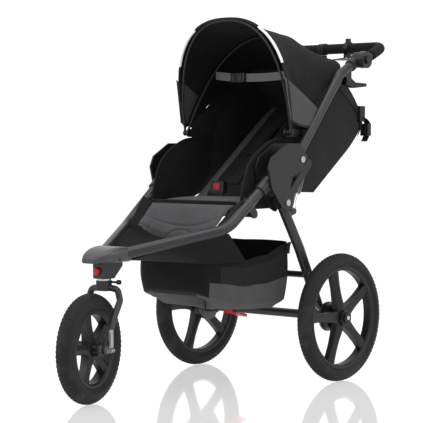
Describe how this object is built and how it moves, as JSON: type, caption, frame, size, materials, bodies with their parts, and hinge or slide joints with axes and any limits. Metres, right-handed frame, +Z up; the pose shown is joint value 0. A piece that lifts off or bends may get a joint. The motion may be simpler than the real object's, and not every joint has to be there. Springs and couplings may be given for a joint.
{
  "type": "jogging stroller",
  "caption": "Folding jogging stroller with air wheels, sprung rear frame, swivelling front fork, reclining sling seat, folding canopy, basket and hand-braked bar.",
  "frame": {"origin": "on the floor under the middle of the stroller's outline", "axes": "+Z up, the front of the stroller towards -Y, the child's left side towards +X"},
  "size_m": [0.6586, 1.3036, 1.1314],
  "materials": {
    "frame_paint": "satin powder coat, charcoal",
    "hub_paint": "satin powder coat, dark grey",
    "black_plastic": "fine moulded texture",
    "dark_plastic": "smooth moulded",
    "red_plastic": "glossy moulded",
    "tyre_rubber": "treaded rubber",
    "grip_foam": "closed-cell foam",
    "steel": "brushed",
    "zinc": "zinc plated",
    "black_fabric": "woven polyester, black",
    "grey_fabric": "woven polyester, mid grey",
    "shock_label": "satin",
    "cable_black": "smooth cable housing"
  },
  "bodies": {
    "main_frame": {"main_tubes": "frame_paint", "nose_housing": "dark_plastic", "head_housing": "frame_paint", "head_bearings": "steel", "hub_brackets": "hub_paint", "hub_pins": "zinc", "seat_cross_tube": "frame_paint", "seat_pan": "black_fabric", "calf_panel": "grey_fabric", "footwell": "black_fabric", "seat_sides": "black_fabric", "basket": "black_fabric", "crotch_buckle": "black_plastic"},
    "lock_knob": {"swivel_lock_knob": "red_plastic"},
    "fork": {"fork": "frame_paint", "front_axle": "steel"},
    "trim_knob": {"track_knob": "black_plastic"},
    "front_wheel": {"front_tyre": "tyre_rubber", "front_rim": "black_plastic"},
    "release_lever": {"quick_release_lever": "steel"},
    "rear_yoke": {"shock_yokes": "hub_paint", "shock_bodies": "shock_label"},
    "swing_arm": {"rear_legs": "frame_paint", "rear_cross_tubes": "frame_paint", "brake_backplates": "steel", "leg_brake_cables": "cable_black"},
    "pedal": {"parking_pedal": "red_plastic"},
    "upper_frame": {"upper_tubes": "frame_paint", "bar_joints": "dark_plastic", "canopy_pivots": "black_plastic", "back_cover": "black_fabric"},
    "handlebar": {"handlebar_tube": "frame_paint", "foam_grip": "grip_foam", "brake_bracket": "black_plastic", "bar_brake_cables": "cable_black", "wrist_strap": "black_fabric"},
    "brake_hand_lever": {"brake_lever": "steel"},
    "back": {"seat_back": "grey_fabric", "harness": "black_fabric"},
    "canopy_middle": {"canopy_mid_bow": "steel", "canopy_rear": "black_fabric", "cross_strap": "grey_fabric"},
    "canopy_nose": {"canopy_front_bow": "steel", "canopy_front": "black_fabric"},
    "crotch_button": {"buckle_button": "red_plastic"},
    "shock_rod_left": {"shock_shaft_left": "steel"},
    "rear_wheel_left": {"rear_tyre_left": "tyre_rubber", "rear_rim_left": "black_plastic"},
    "wheel_button_left": {"axle_button_left": "steel"},
    "drum_arm_left": {"brake_arm_left": "zinc"},
    "squeeze_lever_left": {"fold_lever_left": "black_plastic"},
    "angle_button_left": {"adjust_button_left": "dark_plastic"},
    "shock_rod_right": {"shock_shaft_right": "steel"},
    "rear_wheel_right": {"rear_tyre_right": "tyre_rubber", "rear_rim_right": "black_plastic"},
    "wheel_button_right": {"axle_button_right": "steel"},
    "drum_arm_right": {"brake_arm_right": "zinc"},
    "squeeze_lever_right": {"fold_lever_right": "black_plastic"},
    "angle_button_right": {"adjust_button_right": "dark_plastic"}
  },
  "joints": [
    {"name": "swivel_lock_turn", "type": "hinge", "parent": "main_frame", "child": "lock_knob", "pos_m": [0, -0.44318, 0.376], "axis": [0, 1, 0], "range_deg": [0, 90]},
    {"name": "front_swivel", "type": "hinge", "parent": "main_frame", "child": "fork", "pos_m": [0, -0.41318, 0.348], "axis": [0, 0, 1], "continuous": true},
    {"name": "track_trim_turn", "type": "hinge", "parent": "fork", "child": "trim_knob", "pos_m": [0.04288, -0.39548, 0.3435], "axis": [0.9659, 0.2588, 0], "range_deg": [-90, 90]},
    {"name": "front_wheel_spin", "type": "hinge", "parent": "fork", "child": "front_wheel", "pos_m": [0.022, -0.49528, 0.159], "axis": [0.9659, 0.2588, 0], "continuous": true},
    {"name": "release_lever_open", "type": "hinge", "parent": "fork", "child": "release_lever", "pos_m": [0.09106, -0.47678, 0.159], "axis": [-0.2588, 0.9659, 0], "range_deg": [0, 150]},
    {"name": "rear_fold", "type": "hinge", "parent": "main_frame", "child": "rear_yoke", "pos_m": [0, 0.13282, 0.562], "axis": [-1, 0, 0], "range_deg": [0, 70], "deforming": ["basket"]},
    {"name": "suspension", "type": "hinge", "parent": "rear_yoke", "child": "swing_arm", "pos_m": [0, 0.13282, 0.562], "axis": [1, 0, 0], "range_deg": [0, 8], "stiffness_Nm_per_rad": 300, "springref_deg": -6.88},
    {"name": "parking_pedal_press", "type": "hinge", "parent": "swing_arm", "child": "pedal", "pos_m": [-0.15, 0.33282, 0.2], "axis": [-1, 0, 0], "range_deg": [0, 20]},
    {"name": "frame_fold", "type": "hinge", "parent": "main_frame", "child": "upper_frame", "pos_m": [0, 0.20482, 0.693], "axis": [1, 0, 0], "range_deg": [0, 90]},
    {"name": "handlebar_angle", "type": "hinge", "parent": "upper_frame", "child": "handlebar", "pos_m": [0, 0.50482, 1.008], "axis": [1, 0, 0], "range_deg": [-40, 55], "deforming": ["wrist_strap"]},
    {"name": "brake_lever_pull", "type": "hinge", "parent": "handlebar", "child": "brake_hand_lever", "pos_m": [0.105, 0.62682, 1.02], "axis": [-1, 0, 0], "range_deg": [0, 12], "stiffness_Nm_per_rad": 0.5, "springref_deg": -17.19},
    {"name": "back_recline", "type": "hinge", "parent": "upper_frame", "child": "back", "pos_m": [0, 0.17482, 0.566], "axis": [1, 0, 0], "range_deg": [0, 18]},
    {"name": "canopy_fold", "type": "hinge", "parent": "upper_frame", "child": "canopy_middle", "pos_m": [0, 0.18282, 0.775], "axis": [-1, 0, 0], "range_deg": [0, 16], "deforming": ["canopy_rear"]},
    {"name": "canopy_nose_fold", "type": "hinge", "parent": "canopy_middle", "child": "canopy_nose", "pos_m": [0, 0.18282, 0.775], "axis": [-1, 0, 0], "range_deg": [0, 26], "deforming": ["canopy_front"]},
    {"name": "buckle_press", "type": "slide", "parent": "main_frame", "child": "crotch_button", "axis": [0, 1, 0], "range_m": [0, 0.002], "stiffness_N_per_m": 300, "springref_m": -0.001},
    {"name": "shock_travel_left", "type": "slide", "parent": "rear_yoke", "child": "shock_rod_left", "axis": [0, 0.3801, 0.9249], "range_m": [0, 0.01]},
    {"name": "rear_wheel_spin_left", "type": "hinge", "parent": "swing_arm", "child": "rear_wheel_left", "pos_m": [0.2925, 0.33282, 0.2], "axis": [1, 0, 0], "continuous": true},
    {"name": "axle_button_press_left", "type": "slide", "parent": "rear_wheel_left", "child": "wheel_button_left", "axis": [-1, 0, 0], "range_m": [0, 0.003], "stiffness_N_per_m": 400, "springref_m": -0.001},
    {"name": "drum_arm_pull_left", "type": "hinge", "parent": "swing_arm", "child": "drum_arm_left", "pos_m": [0.2421, 0.30582, 0.22], "axis": [-1, 0, 0], "range_deg": [0, 12]},
    {"name": "fold_lever_squeeze_left", "type": "hinge", "parent": "upper_frame", "child": "squeeze_lever_left", "pos_m": [0.234, 0.44282, 0.948], "axis": [1, 0, 0], "range_deg": [0, 12], "stiffness_Nm_per_rad": 0.6, "springref_deg": -17.19},
    {"name": "angle_button_press_left", "type": "slide", "parent": "handlebar", "child": "angle_button_left", "axis": [-1, 0, 0], "range_m": [0, 0.003], "stiffness_N_per_m": 400, "springref_m": -0.001},
    {"name": "shock_travel_right", "type": "slide", "parent": "rear_yoke", "child": "shock_rod_right", "axis": [0, 0.3801, 0.9249], "range_m": [0, 0.01]},
    {"name": "rear_wheel_spin_right", "type": "hinge", "parent": "swing_arm", "child": "rear_wheel_right", "pos_m": [-0.2925, 0.33282, 0.2], "axis": [1, 0, 0], "continuous": true},
    {"name": "axle_button_press_right", "type": "slide", "parent": "rear_wheel_right", "child": "wheel_button_right", "axis": [1, 0, 0], "range_m": [0, 0.003], "stiffness_N_per_m": 400, "springref_m": -0.001},
    {"name": "drum_arm_pull_right", "type": "hinge", "parent": "swing_arm", "child": "drum_arm_right", "pos_m": [-0.2421, 0.30582, 0.22], "axis": [-1, 0, 0], "range_deg": [0, 12]},
    {"name": "fold_lever_squeeze_right", "type": "hinge", "parent": "upper_frame", "child": "squeeze_lever_right", "pos_m": [-0.234, 0.44282, 0.948], "axis": [1, 0, 0], "range_deg": [0, 12], "stiffness_Nm_per_rad": 0.6, "springref_deg": -17.19},
    {"name": "angle_button_press_right", "type": "slide", "parent": "handlebar", "child": "angle_button_right", "axis": [1, 0, 0], "range_m": [0, 0.003], "stiffness_N_per_m": 400, "springref_m": -0.001}
  ],
  "couplings": [
    {"joint": "canopy_nose_fold", "follows": "canopy_fold", "ratio": 1.6},
    {"joint": "shock_travel_left", "follows": "suspension", "m_per_rad": 0.06059},
    {"joint": "drum_arm_pull_left", "follows": "brake_lever_pull", "ratio": 1},
    {"joint": "shock_travel_right", "follows": "suspension", "m_per_rad": 0.06059},
    {"joint": "drum_arm_pull_right", "follows": "brake_lever_pull", "ratio": 1}
  ]
}
